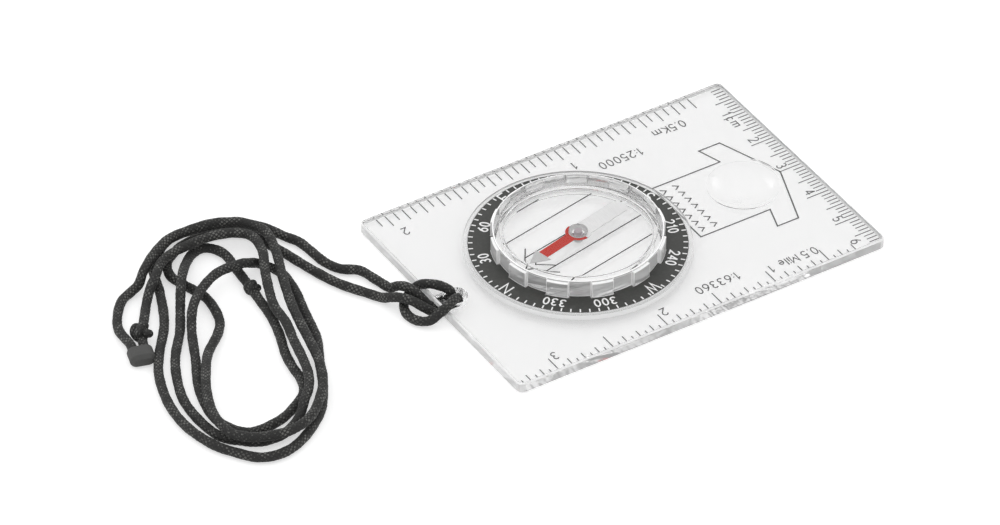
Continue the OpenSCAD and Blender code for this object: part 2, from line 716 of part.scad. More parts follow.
strand_a_route = [
    [-9, -8.6, 2.1], [-10.2, -8.9, 1.2], [-14, -9.8, 1.1], [-18, -11, 1.1], [-20.5, -14, 1.1],
    [-24, -15.5, 1.1], [-28.5, -16, 1.1], [-32, -16.5, 1.1], [-35, -18, 1.1], [-38.5, -19.5, 1.1],
    [-41.5, -21.5, 1.1], [-44, -24.5, 1.1], [-45.5, -28.5, 1.1], [-46.5, -34, 1.1], [-46, -38.5, 1.1],
    [-43.5, -42, 1.1], [-39.5, -45.5, 1.1], [-32.5, -48, 1.1], [-24, -52, 1.1], [-16.5, -57.5, 1.1],
    [-10.5, -61, 1.1], [-2.5, -63.5, 1.1], [5, -64, 1.1], [12, -62.5, 1.1], [16.5, -60, 1.1],
    [20.5, -56.5, 1.1], [21.5, -51.5, 1.1], [19.5, -46, 1.1], [15, -40, 1.1], [9.5, -36, 1.1],
    [2.5, -32.5, 1.1], [-4.5, -29, 1.1], [-12, -27, 1.1], [-19.5, -25, 1.1], [-25.5, -24.5, 1.1],
    [-30, -26.5, 1.1], [-29.5, -29.5, 3], [-29.5, -31.5, 3.6], [-29.5, -36.5, 3.6], [-27, -41.5, 3.6],
    [-23, -46, 3.6], [-18.5, -49, 1.9], [-11, -52.5, 1.1], [-4, -56, 1.1], [3.5, -58, 1.1],
    [9, -57.5, 1.1], [13, -54.5, 1.1], [13, -48, 1.1], [10.5, -42.5, 1.1], [8, -39.5, 1.1],
    [4.5, -38, 1.1], [0.5, -37.5, 1.1], [-4, -36.5, 1.1], [-9.5, -34.5, 1.1], [-15.5, -33, 1.1],
    [-20, -32.5, 1.1], [-24, -32, 1.1], [-30, -31.5, 1.1], [-36.5, -31, 1.1], [-40, -33, 1.1],
    [-40, -36, 1.1], [-37.5, -39, 1.8], [-33, -42.5, 3.6], [-29.5, -45, 3.3], [-25.5, -47.5, 1.6],
    [-20.5, -50.5, 1.1], [-14.5, -55, 1.1], [-9, -58, 1.1], [-2, -60.5, 1.1], [5, -61, 1.1],
    [11, -60, 1.1], [14.5, -57, 1.1], [16.5, -54, 1.1], [17, -50.5, 1.1], [16.5, -47.5, 1.5],
    [15, -44.5, 2.4], [12.5, -42, 3.3], [10, -39.5, 3.6], [6.5, -37.5, 3.6], [2, -36, 3.5],
    [-4, -34.5, 3.4], [-9.5, -33, 3.5], [-14.5, -32.5, 3.5], [-19, -31, 3.6], [-25, -28.5, 4],
    [-30, -26, 4], [-35.5, -25, 3.6], [-38.5, -27.5, 3.6], [-40, -32, 3.6], [-40, -37, 3.6],
    [-39.5, -41, 3.6], [-38, -44.5, 3.6], [-35, -47.5, 3.6], [-33, -50, 2.6], [-31, -52, 1.1],
    [-27.5, -54.5, 1.1], [-24, -57, 1.3], [-21, -58.6, 1.5], [-18.6, -59.3, 1.5]];
strand_b_route = [
    [-6.5, -11, 2.2], [-8.5, -11.7, 1.1], [-11, -13.3, 1.1], [-16.5, -16.5, 1.1], [-22, -18.5, 1.1],
    [-27.5, -20, 1.1], [-31.5, -21, 1.1], [-34.5, -22, 1.1], [-38.5, -23, 1.1], [-41.5, -26, 1.1],
    [-43, -30.5, 1.1], [-43.5, -35, 1.1], [-42.5, -38.5, 1.1], [-40, -42, 1.1], [-36, -43.5, 1.1],
    [-32, -42.5, 1.1], [-26.5, -41, 1.1], [-20, -42, 1.1], [-16, -44.5, 1.2], [-10.5, -50, 2.2],
    [-4.5, -54, 3.4], [1, -57, 3.6], [6.5, -59, 3.6], [10.5, -59.5, 3.6], [14, -59, 3.6],
    [16.5, -57, 3.6], [18, -54.5, 3.6], [19, -51, 3.6], [19, -47.5, 3.6], [17.5, -43.5, 3.6],
    [14, -39.5, 3.6], [9.5, -36, 3.6], [3.5, -33.5, 3.6], [-2.5, -32, 3.6], [-9, -30.5, 3.6],
    [-14.5, -29, 3.6], [-21.5, -26.5, 3.6], [-29, -23.5, 3.6], [-35.5, -22, 3.6], [-40, -24, 3.6],
    [-42, -26.5, 3.6], [-43.5, -30, 3.6], [-44, -35.5, 3.6], [-43.5, -40, 3.6], [-41, -44.5, 3.6],
    [-38, -48.5, 3.2], [-36.5, -50.5, 1.8], [-36, -52.5, 1.1], [-34.5, -55.5, 1.1], [-31, -58.5, 1.1],
    [-27, -60.5, 1.1], [-21.7, -61, 1.5], [-19.3, -61.7, 1.5]];
cord_r = cord_d / 2;
strand_sides = 6;
hitch_sides = 8;
// Steps from one point of a route to the next, in the tube and where its gap to itself is measured
tube_steps = 2;
gap_steps = 4;
// Steps along the cord within which its gap to itself isn't measured
gap_reach = 10;
// Least gap of the cord to the table
table_gap = 0.05;

// Smooth curve through a route, which leaves each end along the route's end line
function last(p) = p[len(p) - 1];
function extended(p) = concat([2 * p[0] - p[1]], p, [2 * last(p) - p[len(p) - 2]]);
function between(a, b, c, d, t) =
    b + (t * (c - a) + t * t * (2 * a - 5 * b + 4 * c - d) + t * t * t * (3 * b - a - 3 * c + d)) / 2;
function curve(p, steps) =
    let (q = extended(p))
    concat([for (i = [1 : len(q) - 3], k = [0 : steps - 1])
                between(q[i - 1], q[i], q[i + 1], q[i + 2], k / steps)],
           [last(p)]);
function headings(p, c) =
    let (n = len(c))
    concat([unit(p[1] - p[0])], [for (i = [1 : n - 2]) unit(c[i + 1] - c[i - 1])],
           [unit(last(p) - p[len(p) - 2])]);
// A direction across the curve at each of its points, carried along without a twist
function square_to(v, h) = unit(v - (v * h) * h);
function across(h) = [for (i = 0, v = square_to([0, 0, 1], h[0]); i < len(h); i = i + 1,
                           v = i < len(h) ? square_to(v, h[i]) : v) v];
// Share of its height that the cord keeps, where it's pressed flat against the table
function lying_share(z) = min(1, (z - table_gap) / cord_r);
function pressed(v, z) = [v[0], v[1], v[2] * lying_share(z)];

module cord_tube(route, sides) {
    c = curve(route, tube_steps);
    h = headings(route, c);
    v = across(h);
    n = len(c);
    points = [for (i = [0 : n - 1], k = [0 : sides - 1])
        let (a = full_turn * k / sides)
        c[i] + cord_r * pressed(cos(a) * v[i] + sin(a) * cross(h[i], v[i]), c[i][2])];
    walls = [for (i = [0 : n - 2], k = [0 : sides - 1])
        let (a = i * sides + k, b = i * sides + (k + 1) % sides)
        each [[a, a + sides, b + sides], [a, b + sides, b]]];
    e = (n - 1) * sides;
    ends = [for (k = [1 : sides - 2]) each [[0, k, k + 1], [e, e + k + 1, e + k]]];
    color("dimgray") translate([0, back_y + cord_hole_inset, 0]) polyhedron(points, concat(walls, ends));
}

// Least gap between two passes of one strand, which the build prints
function least_gap(route) =
    let (c = curve(route, gap_steps), n = len(c))
    min([for (i = [0 : n - 1 - gap_reach], j = [i + gap_reach : n - 1]) norm(c[j] - c[i])]) - cord_d;

module lanyard_hitch() {
    cord_tube(hitch_route, hitch_sides);
}

module lanyard_strand_a() {
    echo(strand_a_gap = least_gap(strand_a_route));
    cord_tube(strand_a_route, strand_sides);
}

module lanyard_strand_b() {
    echo(strand_b_gap = least_gap(strand_b_route));
    cord_tube(strand_b_route, strand_sides);
}

// End cap that takes both ends of the cord in one face
module cord_end_cap() {
    middle = (last(strand_a_route) + last(strand_b_route)) / 2;
    way = last(strand_a_route) - strand_a_route[len(strand_a_route) - 2];
    r = end_cap_h / 2;
    x = end_cap_w / 2 - r;
    profile = [[0, 0], [r, 0], [r, end_cap_l - r / 2], [r / 2, end_cap_l], [0, end_cap_l]];
    other = [for (i = [len(profile) - 2 : -1 : 1]) [-profile[i][0], profile[i][1]]];
    color("gray")
    translate([0, back_y + cord_hole_inset, 0] + middle)
        rotate([0, 90, atan2(way[1], way[0])]) {
            for (side = [-x, x]) translate([0, side, 0]) rotate_extrude() polygon(profile);
            rotate([90, 0, 0])
                linear_extrude(2 * x, center = true)
                    polygon(concat(profile, other));
        }
}

base_plate();
cm_scale();
km_scale();
mile_scale();
travel_arrow();
travel_chevrons();
bezel_ring();
dial_ring();
dial_marks();
retaining_ring();
capsule_body();
capsule_cover();
north_lines();
orienting_arrow();
pivot_foot();
pivot_pin();
needle_blade();
needle_north_paint();
needle_south_paint();
needle_cap();
jewel_bearing();
lanyard_hitch();
lanyard_strand_a();
lanyard_strand_b();
cord_end_cap();
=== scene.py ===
"""A baseplate compass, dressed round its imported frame.

A clear plate carries a turning dial with its capsule and needle, and its neck cord lies beside it.
"""

import json
import math

import bmesh
import bpy
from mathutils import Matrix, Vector

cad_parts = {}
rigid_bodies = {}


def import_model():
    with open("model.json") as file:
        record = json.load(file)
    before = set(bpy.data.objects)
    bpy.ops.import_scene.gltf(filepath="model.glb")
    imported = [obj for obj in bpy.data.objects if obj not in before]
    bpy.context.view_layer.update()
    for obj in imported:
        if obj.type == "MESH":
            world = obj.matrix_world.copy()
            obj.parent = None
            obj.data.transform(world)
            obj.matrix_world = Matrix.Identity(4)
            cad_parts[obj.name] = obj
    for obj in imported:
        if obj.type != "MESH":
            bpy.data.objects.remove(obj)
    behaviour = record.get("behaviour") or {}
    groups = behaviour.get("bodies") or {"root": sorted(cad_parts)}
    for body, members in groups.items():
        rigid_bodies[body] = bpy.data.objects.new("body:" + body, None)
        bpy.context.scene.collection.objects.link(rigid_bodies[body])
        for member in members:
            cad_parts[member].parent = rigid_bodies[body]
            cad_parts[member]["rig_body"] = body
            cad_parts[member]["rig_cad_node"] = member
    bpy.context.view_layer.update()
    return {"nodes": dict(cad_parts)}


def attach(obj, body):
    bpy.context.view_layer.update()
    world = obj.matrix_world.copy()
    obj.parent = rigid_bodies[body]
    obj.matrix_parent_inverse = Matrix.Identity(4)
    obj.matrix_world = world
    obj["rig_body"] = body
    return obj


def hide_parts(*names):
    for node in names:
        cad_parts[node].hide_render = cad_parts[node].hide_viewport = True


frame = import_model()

# Camera
# A long lens looks down over the plate's right back corner, from about a metre and a half away.
# The plate lies across the picture and its neck cord runs off to the left.

camera_place = (0.95797, -0.63765, 0.92535)
camera_turn = (51.0056, -0.2453, 57.7533)
camera_lens = 267.92
camera_film = 36
camera_near, camera_far = 0.1, 20
# Light is thrown back from wall to wall many times inside clear plastic before it comes out
light_bounces = 48

bpy.ops.object.camera_add(
    location=camera_place, rotation=[math.radians(a) for a in camera_turn]
)
camera = bpy.context.object
camera.name = "camera"
camera.data.sensor_width = camera_film
camera.data.lens = camera_lens
camera.data.clip_start = camera_near
camera.data.clip_end = camera_far
bpy.context.scene.camera = camera
bpy.context.scene.view_settings.view_transform = "Standard"
for limit in (
    "max_bounces",
    "diffuse_bounces",
    "glossy_bounces",
    "transmission_bounces",
    "transparent_max_bounces",
):
    setattr(bpy.context.scene.cycles, limit, light_bounces)


# Table and light
# A white table under a white dome, as in a light tent: bright overhead and greyer near the table,
# so that the clear plastic's edges show. One soft box stands low on the left, and two small ones
# behind light the lens.


class Wire:
    """A node's output. Sums written with it add their Math nodes."""

    def __init__(self, finish, socket):
        self.finish = finish
        self.socket = socket

    def __add__(self, other):
        return self.finish.math("ADD", self, other)

    def __radd__(self, other):
        return self.finish.math("ADD", other, self)

    def __sub__(self, other):
        return self.finish.math("SUBTRACT", self, other)

    def __rsub__(self, other):
        return self.finish.math("SUBTRACT", other, self)

    def __mul__(self, other):
        return self.finish.math("MULTIPLY", self, other)

    def __rmul__(self, other):
        return self.finish.math("MULTIPLY", other, self)

    def __truediv__(self, other):
        return self.finish.math("DIVIDE", self, other)


class Finish:
    """A finish being built from nodes, for a material or for the dome."""

    def __init__(self, owner):
        owner.use_nodes = True
        self.owner = owner
        self.tree = owner.node_tree
        self.tree.nodes.clear()

    def node(self, kind, settings=(), inputs=(), output=0):
        """One output of a new node, whose sockets are given a value or another node's output."""
        made = self.tree.nodes.new(kind)
        for name, value in dict(settings).items():
            setattr(made, name, value)
        for name, value in dict(inputs).items():
            if isinstance(value, Wire):
                self.tree.links.new(value.socket, made.inputs[name])
            else:
                made.inputs[name].default_value = value
        return Wire(self, made.outputs[output])

    def math(self, operation, *values):
        return self.node("ShaderNodeMath", {"operation": operation}, dict(enumerate(values)))

    def mix(self, share, a, b):
        """Colour a where share is 0, and colour b where it is 1."""
        return self.node(
            "ShaderNodeMix",
            {"data_type": "RGBA", "clamp_factor": True},
            {
                0: share,
                6: a if isinstance(a, Wire) else (*a, 1),
                7: b if isinstance(b, Wire) else (*b, 1),
            },
            output=2,
        )

    def clipped(self, value, low, high):
        """How far value is from low to high, kept between 0 and 1."""
        return self.node(
            "ShaderNodeMapRange",
            {"clamp": True},
            {"Value": value, "From Min": low, "From Max": high},
        )

    def part(self, vector, axis):
        """A vector's X, Y or Z."""
        return self.node("ShaderNodeSeparateXYZ", inputs={0: vector}, output=axis)

    def noise(self, place, scale, detail):
        return self.node(
            "ShaderNodeTexNoise", inputs={"Vector": place, "Scale": scale, "Detail": detail}
        )

    def place(self):
        """Each place's own coordinates on the piece."""
        return self.node("ShaderNodeTexCoord", output="Object")

    def done(self, shader, kind="ShaderNodeOutputMaterial"):
        out = self.tree.nodes.new(kind)
        self.tree.links.new(shader.socket, out.inputs["Surface"])
        return self.owner


def seen(finish):
    """1 for what the camera sees, straight or by way of gloss or clear plastic."""
    return finish.math(
        "MAXIMUM",
        finish.node("ShaderNodeLightPath", output="Is Camera Ray"),
        finish.math(
            "MAXIMUM",
            finish.node("ShaderNodeLightPath", output="Is Glossy Ray"),
            finish.node("ShaderNodeLightPath", output="Is Transmission Ray"),
        ),
    )


table_size = 4
table_z = -0.00005
table_colour = (0.6, 0.6, 0.6)
table_glow = 0.54

bpy.ops.object.select_all(action="DESELECT")
bpy.ops.mesh.primitive_plane_add(size=table_size)
table = bpy.context.object
table.name = "table"
bpy.ops.object.mode_set(mode="EDIT")
bpy.ops.transform.translate(value=(0, 0, table_z))
bpy.ops.object.mode_set(mode="OBJECT")
white_table = Finish(bpy.data.materials.new("white_table"))
matt = white_table.node("ShaderNodeBsdfDiffuse", inputs={"Color": (*table_colour, 1)})
glow = white_table.node(
    "ShaderNodeEmission",
    inputs={"Color": (1, 1, 1, 1), "Strength": table_glow * seen(white_table)},
)
table.data.materials.append(
    white_table.done(white_table.node("ShaderNodeAddShader", inputs={0: matt, 1: glow}))
)

dome_foot = (0.74, 0.74, 0.74)
dome_top = (1.2, 1.2, 1.2)
dome_fade = 0.95
# Each box's direction, the cosines of its rim and of its bright middle, and the light it adds
soft_boxes = [
    ((-0.8, -0.5, 0.5), (0.93, 0.96), 0.6),
    ((-0.784, 0.2138, 0.582), (0.9958, 0.9985), 1.3),
    ((-0.496, 0.642, 0.584), (0.9958, 0.9985), 1.3),
]

dome = Finish(bpy.context.scene.world or bpy.data.worlds.new("dome"))
bpy.context.scene.world = dome.owner
way = dome.node("ShaderNodeTexCoord", output="Generated")
wall = dome.mix(dome.clipped(dome.part(way, "Z"), 0, dome_fade), dome_foot, dome_top)
boxes = 0
for toward, edge, added in soft_boxes:
    cosine = dome.node(
        "ShaderNodeVectorMath",
        {"operation": "DOT_PRODUCT"},
        {0: way, 1: Vector(toward).normalized()},
        output="Value",
    )
    boxes = boxes + added * dome.clipped(cosine, *edge)
straight = dome.node("ShaderNodeLightPath", output="Is Camera Ray")
dome.done(
    dome.node(
        "ShaderNodeBackground",
        inputs={
            "Color": dome.mix(straight, wall, (1, 1, 1)),
            "Strength": 1 + boxes * (1 - straight),
        },
    ),
    "ShaderNodeOutputWorld",
)


# Neck cord
# A two millimetre round cord, braided from black polyester yarns. It goes down through the plate's
# hole, back under the plate's edge and up, and its two strands pass through the loop and lie in a
# loose coil on the table.

MM = 0.001
cord_width = 2 * MM
# The routes are in millimetres, from the middle of the cord hole
hole_middle = Vector((0, -39, 0))
hitch_route = [
    (-6.5, -11, 2.2), (-4.5, -10.3, 3.3), (-2, -9, 3.7), (0.2, -7, 2.4), (1.3, -5, 0.9),
    (1.4, -3.5, 0.65), (1.4, -1.8, 0.7), (1.3, -0.3, 1.6), (1.4, -0.4, 2.9), (2.3, -1.8, 3.7),
    (3.2, -3.6, 3.6), (3.6, -5.8, 3), (3.2, -7.9, 1.7), (1.2, -9.6, 1.1), (-1.6, -10.2, 1.1),
    (-4.4, -9.1, 1.1), (-6, -7, 1.6), (-5.9, -5, 3), (-4.6, -3.2, 3.6), (-2.6, -1.6, 3.7),
    (-1.4, -0.4, 2.9), (-1.3, -0.3, 1.6), (-1.4, -1.8, 0.7), (-1.4, -3.5, 0.65),
    (-1.6, -5, 0.9), (-3, -6.3, 2.9), (-5, -7.5, 4.1), (-7.4, -8.2, 3.3), (-9, -8.6, 2.1),
]
strand_a_route = [
    (-9, -8.6, 2.1), (-10.2, -8.9, 1.2), (-14, -9.8, 1.1), (-18, -11, 1.1), (-20.5, -14, 1.1),
    (-24, -15.5, 1.1), (-28.5, -16, 1.1), (-32, -16.5, 1.1), (-35, -18, 1.1),
    (-38.5, -19.5, 1.1), (-41.5, -21.5, 1.1), (-44, -24.5, 1.1), (-45.5, -28.5, 1.1),
    (-46.5, -34, 1.1), (-46, -38.5, 1.1), (-43.5, -42, 1.1), (-39.5, -45.5, 1.1),
    (-32.5, -48, 1.1), (-24, -52, 1.1), (-16.5, -57.5, 1.1), (-10.5, -61, 1.1),
    (-2.5, -63.5, 1.1), (5, -64, 1.1), (12, -62.5, 1.1), (16.5, -60, 1.1), (20.5, -56.5, 1.1),
    (21.5, -51.5, 1.1), (19.5, -46, 1.1), (15, -40, 1.1), (9.5, -36, 1.1), (2.5, -32.5, 1.1),
    (-4.5, -29, 1.1), (-12, -27, 1.1), (-19.5, -25, 1.1), (-25.5, -24.5, 1.1),
    (-30, -26.5, 1.1), (-29.5, -29.5, 3), (-29.5, -31.5, 3.6), (-29.5, -36.5, 3.6),
    (-27, -41.5, 3.6), (-23, -46, 3.6), (-18.5, -49, 1.9), (-11, -52.5, 1.1), (-4, -56, 1.1),
    (3.5, -58, 1.1), (9, -57.5, 1.1), (13, -54.5, 1.1), (13, -48, 1.1), (10.5, -42.5, 1.1),
    (8, -39.5, 1.1), (4.5, -38, 1.1), (0.5, -37.5, 1.1), (-4, -36.5, 1.1), (-9.5, -34.5, 1.1),
    (-15.5, -33, 1.1), (-20, -32.5, 1.1), (-24, -32, 1.1), (-30, -31.5, 1.1), (-36.5, -31, 1.1),
    (-40, -33, 1.1), (-40, -36, 1.1), (-37.5, -39, 1.8), (-33, -42.5, 3.6), (-29.5, -45, 3.3),
    (-25.5, -47.5, 1.6), (-20.5, -50.5, 1.1), (-14.5, -55, 1.1), (-9, -58, 1.1),
    (-2, -60.5, 1.1), (5, -61, 1.1), (11, -60, 1.1), (14.5, -57, 1.1), (16.5, -54, 1.1),
    (17, -50.5, 1.1), (16.5, -47.5, 1.5), (15, -44.5, 2.4), (12.5, -42, 3.3), (10, -39.5, 3.6),
    (6.5, -37.5, 3.6), (2, -36, 3.5), (-4, -34.5, 3.4), (-9.5, -33, 3.5), (-14.5, -32.5, 3.5),
    (-19, -31, 3.6), (-25, -28.5, 4), (-30, -26, 4), (-35.5, -25, 3.6), (-38.5, -27.5, 3.6),
    (-40, -32, 3.6), (-40, -37, 3.6), (-39.5, -41, 3.6), (-38, -44.5, 3.6), (-35, -47.5, 3.6),
    (-33, -50, 2.6), (-31, -52, 1.1), (-27.5, -54.5, 1.1), (-24, -57, 1.3), (-21, -58.6, 1.5),
    (-18.6, -59.3, 1.5),
]
strand_b_route = [
    (-6.5, -11, 2.2), (-8.5, -11.7, 1.1), (-11, -13.3, 1.1), (-16.5, -16.5, 1.1),
    (-22, -18.5, 1.1), (-27.5, -20, 1.1), (-31.5, -21, 1.1), (-34.5, -22, 1.1),
    (-38.5, -23, 1.1), (-41.5, -26, 1.1), (-43, -30.5, 1.1), (-43.5, -35, 1.1),
    (-42.5, -38.5, 1.1), (-40, -42, 1.1), (-36, -43.5, 1.1), (-32, -42.5, 1.1),
    (-26.5, -41, 1.1), (-20, -42, 1.1), (-16, -44.5, 1.2), (-10.5, -50, 2.2), (-4.5, -54, 3.4),
    (1, -57, 3.6), (6.5, -59, 3.6), (10.5, -59.5, 3.6), (14, -59, 3.6), (16.5, -57, 3.6),
    (18, -54.5, 3.6), (19, -51, 3.6), (19, -47.5, 3.6), (17.5, -43.5, 3.6), (14, -39.5, 3.6),
    (9.5, -36, 3.6), (3.5, -33.5, 3.6), (-2.5, -32, 3.6), (-9, -30.5, 3.6), (-14.5, -29, 3.6),
    (-21.5, -26.5, 3.6), (-29, -23.5, 3.6), (-35.5, -22, 3.6), (-40, -24, 3.6),
    (-42, -26.5, 3.6), (-43.5, -30, 3.6), (-44, -35.5, 3.6), (-43.5, -40, 3.6),
    (-41, -44.5, 3.6), (-38, -48.5, 3.2), (-36.5, -50.5, 1.8), (-36, -52.5, 1.1),
    (-34.5, -55.5, 1.1), (-31, -58.5, 1.1), (-27, -60.5, 1.1), (-21.7, -61, 1.5),
    (-19.3, -61.7, 1.5),
]
# Steps between two points of a route, before the rings are spaced evenly
route_steps = 24
# The cord stays this far off the table, and is pressed flat where it has less room than its own
# half width
cord_lift = 0.05 * MM
# Yarns each way round the braid, length of cord from one crossing to the next, and how far the
# yarns stand up
yarns = 7
yarn_pitch = 1.0 * MM
yarn_relief = 0.09
# Rings along the cord and points round it. The cord's end gets a ring of its own where less than
# the last share of a gap is missing.
ring_gap = 0.26 * MM
last_gap = 0.7
cord_sides = 32
# How much the cord swells and thins along its length, how far apart, and where each swell begins
swell = 0.04
swell_lengths = (7.3 * MM, 3.1 * MM)
swell_start = 1.7
# The UV map along the cord counts tenths of a metre
map_scale = 10


def through(a, b, c, d, t):
    """The point at share t from b to c, on the smooth line through a, b, c and d."""
    return (
        b
        + (
            t * (c - a)
            + t * t * (2 * a - 5 * b + 4 * c - d)
            + t * t * t * (3 * b - a - 3 * c + d)
        )
        / 2
    )


def evenly_along(points, gap):
    """Points a fixed gap apart along the line through points."""
    spots, left = [points[0]], gap
    for a, b in zip(points, points[1:]):
        length = (b - a).length
        while length >= left:
            a = a + (b - a) * (left / length)
            spots.append(a)
            length, left = (b - a).length, gap
        left -= length
    return spots + ([points[-1]] if left < last_gap * gap else [])


def line_of(route):
    """A smooth line through a route's points, in metres."""
    p = [(hole_middle + Vector(x)) * MM for x in route]
    p = [2 * p[0] - p[1], *p, 2 * p[-1] - p[-2]]
    line = [
        through(*p[i : i + 4], k / route_steps)
        for i in range(len(p) - 3)
        for k in range(route_steps)
    ]
    return evenly_along(line + [p[-2]], ring_gap)


def braided_cord(name, line, start=0.0, width=cord_width):
    """A closed tube along the line, with its yarns raised.

    Its UV map goes once round, and along the cord.
    """
    shape = bmesh.new()
    uv = shape.loops.layers.uv.new("round_and_along")
    rings, up = [], Vector((0, 0, 1))
    for i, middle in enumerate(line):
        ahead = (line[min(i + 1, len(line) - 1)] - line[max(i - 1, 0)]).normalized()
        up = (up - up.dot(ahead) * ahead).normalized()
        side = ahead.cross(up)
        along = start + i * ring_gap
        waves = [math.sin(2 * math.pi * along / x + swell_start * x / MM) for x in swell_lengths]
        room = min(1, (middle.z - cord_lift) / (width / 2))
        ring = []
        for k in range(cord_sides):
            turn = k / cord_sides
            crossing = abs(
                math.sin(math.pi * (yarns * turn + along / yarn_pitch))
                * math.sin(math.pi * (yarns * turn - along / yarn_pitch))
            )
            swollen = 1 - yarn_relief * (1 - math.sqrt(crossing)) + swell * sum(waves) / 2
            r = width / 2 * swollen
            out = math.cos(2 * math.pi * turn) * up + math.sin(2 * math.pi * turn) * side
            ring.append(shape.verts.new(middle + r * Vector((out.x, out.y, out.z * room))))
        rings.append(ring)
    for i, (low, high) in enumerate(zip(rings, rings[1:])):
        for k in range(cord_sides):
            n = (k + 1) % cord_sides
            face = shape.faces.new((low[k], high[k], high[n], low[n]))
            face.smooth = True
            corners = ((k, i), (k, i + 1), (k + 1, i + 1), (k + 1, i))
            for loop, (a, b) in zip(face.loops, corners):
                loop[uv].uv = (a / cord_sides, (start + b * ring_gap) * map_scale)
    shape.faces.new(rings[0])
    shape.faces.new(reversed(rings[-1]))
    bmesh.ops.recalc_face_normals(shape, faces=shape.faces)
    mesh = bpy.data.meshes.new(name)
    shape.to_mesh(mesh)
    shape.free()
    cord = bpy.data.objects.new(name, mesh)
    bpy.context.scene.collection.objects.link(cord)
    return cord


def length_of(line):
    return sum((b - a).length for a, b in zip(line, line[1:]))


# Plain yarn colour, with painted shade for the gaps between yarns and painted glints for their
# crowns
yarn_painted_shade = (0.006, 0.006, 0.006)
yarn_plain = (0.011, 0.011, 0.01)
yarn_painted_glint = (0.12, 0.12, 0.112)
yarn_rough = 0.75
yarn_fuzz = 0.05
fuzz_rough = 0.5
# How high a yarn's crown is where it turns from painted shade to plain, and where its painted
# glints begin and end
crown_painted_shade_fade = (0.2, 0.75)
crown_painted_glints = (0.55, 0.85)
# Single fibres, the patches in which they would catch the light, and how much of both makes a
# painted glint
fibre_scale, fibre_detail = 2600, 3
patch_scale, patch_detail = 420, 2
glint_patch_share = 0.9
glint_from, glint_to = 0.92, 1.12
glint_gloss = 0.25
yarn_bump = 0.06 * MM
bump_strength = 0.6
fibre_bump = 0.35

# Black yarns that cross, with painted glints along their crowns where single fibres would catch
# the light, and painted shade between them
braid = Finish(bpy.data.materials.new("black_braid"))
lay = braid.node("ShaderNodeUVMap", {"uv_map": "round_and_along"})
turn = braid.part(lay, "X")
along = braid.part(lay, "Y") / (map_scale * yarn_pitch)
one_way = braid.math("SINE", math.pi * (yarns * turn + along))
other_way = braid.math("SINE", math.pi * (yarns * turn - along))
crown = braid.math("SQRT", braid.math("ABSOLUTE", one_way * other_way))
fibres = braid.noise(braid.place(), fibre_scale, fibre_detail)
patches = braid.noise(braid.place(), patch_scale, patch_detail)
# Painted shade in the gaps between yarns, and painted glints on their crowns
cloth_with_painted_shade = braid.mix(braid.clipped(crown, *crown_painted_shade_fade), yarn_painted_shade, yarn_plain)
painted_glints = braid.clipped(crown, *crown_painted_glints) * braid.clipped(
    fibres + glint_patch_share * patches, glint_from, glint_to
)
cord_finish = braid.done(
    braid.node(
        "ShaderNodeBsdfPrincipled",
        inputs={
            "Base Color": braid.mix(painted_glints, cloth_with_painted_shade, yarn_painted_glint),
            "Roughness": yarn_rough - glint_gloss * painted_glints,
            "Normal": braid.node(
                "ShaderNodeBump",
                inputs={
                    "Strength": bump_strength,
                    "Distance": yarn_bump,
                    "Height": crown + fibre_bump * fibres,
                },
            ),
            "Sheen Weight": yarn_fuzz,
            "Sheen Roughness": fuzz_rough,
        },
    )
)

lines_of_cord = {
    "hitch": line_of(hitch_route),
    "strand_a": line_of(strand_a_route),
    "strand_b": line_of(strand_b_route),
}
loop_length = length_of(lines_of_cord["hitch"])
cords = {}
for name, start in (("hitch", 0), ("strand_a", loop_length), ("strand_b", 0)):
    cords[name] = braided_cord("cord_" + name, lines_of_cord[name], start)
    cords[name].data.materials.append(cord_finish)
    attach(cords[name], "plate")
    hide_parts("lanyard_" + name)


# Knots
# Both ends of the cord are tied off just above the end cap, in a small overhand knot that has begun
# to fray. A single tight knot sits on the coil's inner run.

# Points along the knot's own loop, how far it swings in and out, how flat it lies, and how long
knot_steps = 160
knot_swing = 0.45
knot_flat = 0.72
knot_long = 0.8
knot_cord = 0.8 * cord_width


def knot(name, middle, ahead, size):
    """A short length of the same cord, wound twice round the cord's line and in and out."""
    ahead = ahead.normalized()
    up = (Vector((0, 0, 1)) - ahead.z * ahead).normalized()
    side = ahead.cross(up)
    middle = (hole_middle + Vector(middle)) * MM
    loop = []
    for i in range(knot_steps + 1):
        a = 2 * math.pi * i / knot_steps
        wide = size * (1 + knot_swing * math.cos(3 * a)) / (1 + knot_swing)
        loop.append(
            middle
            + wide * math.cos(2 * a) * up * knot_flat
            + wide * math.sin(2 * a) * side
            + knot_long * size * math.sin(3 * a) * ahead
        )
    tied = braided_cord(name, evenly_along(loop, ring_gap), width=knot_cord)
    tied.data.materials.append(cord_finish)
    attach(tied, "plate")
    return tied


tied_ends = knot("knot_at_the_ends", (-23.2, -57.6, 2.1), Vector((2.4, -0.9, 0)), 1.55 * MM)
tied_coil = knot("knot_in_the_coil", (-24, -32, 1.6), Vector((-5, 0.3, 0)), 0.95 * MM)


# Cord end cap
# A grey rubber cap with rounded edges, moulded in one piece with a fine grain. It is pressed over
# both ends of the cord.

cap_colour = (0.07, 0.07, 0.068)
cap_dark = (0.042, 0.042, 0.041)
cap_round, cap_round_steps = 0.9 * MM, 6
cap_smooth = 50
cap_rough, cap_rough_grain = 0.55, 0.2
grain_scale, grain_detail = 900, 4
grain_bump, grain_depth = 0.3, 0.1 * MM
# Points nearer than this are one, and faces within this angle of each other, in degrees, are flat
weld = 0.000001
flat_within = 0.5
# Edges sharper than this, in degrees, are rounded
corner_from = 30


def choose(piece):
    """Make this piece the only one that the next steps work on."""
    bpy.ops.object.select_all(action="DESELECT")
    bpy.context.view_layer.objects.active = piece
    piece.select_set(True)


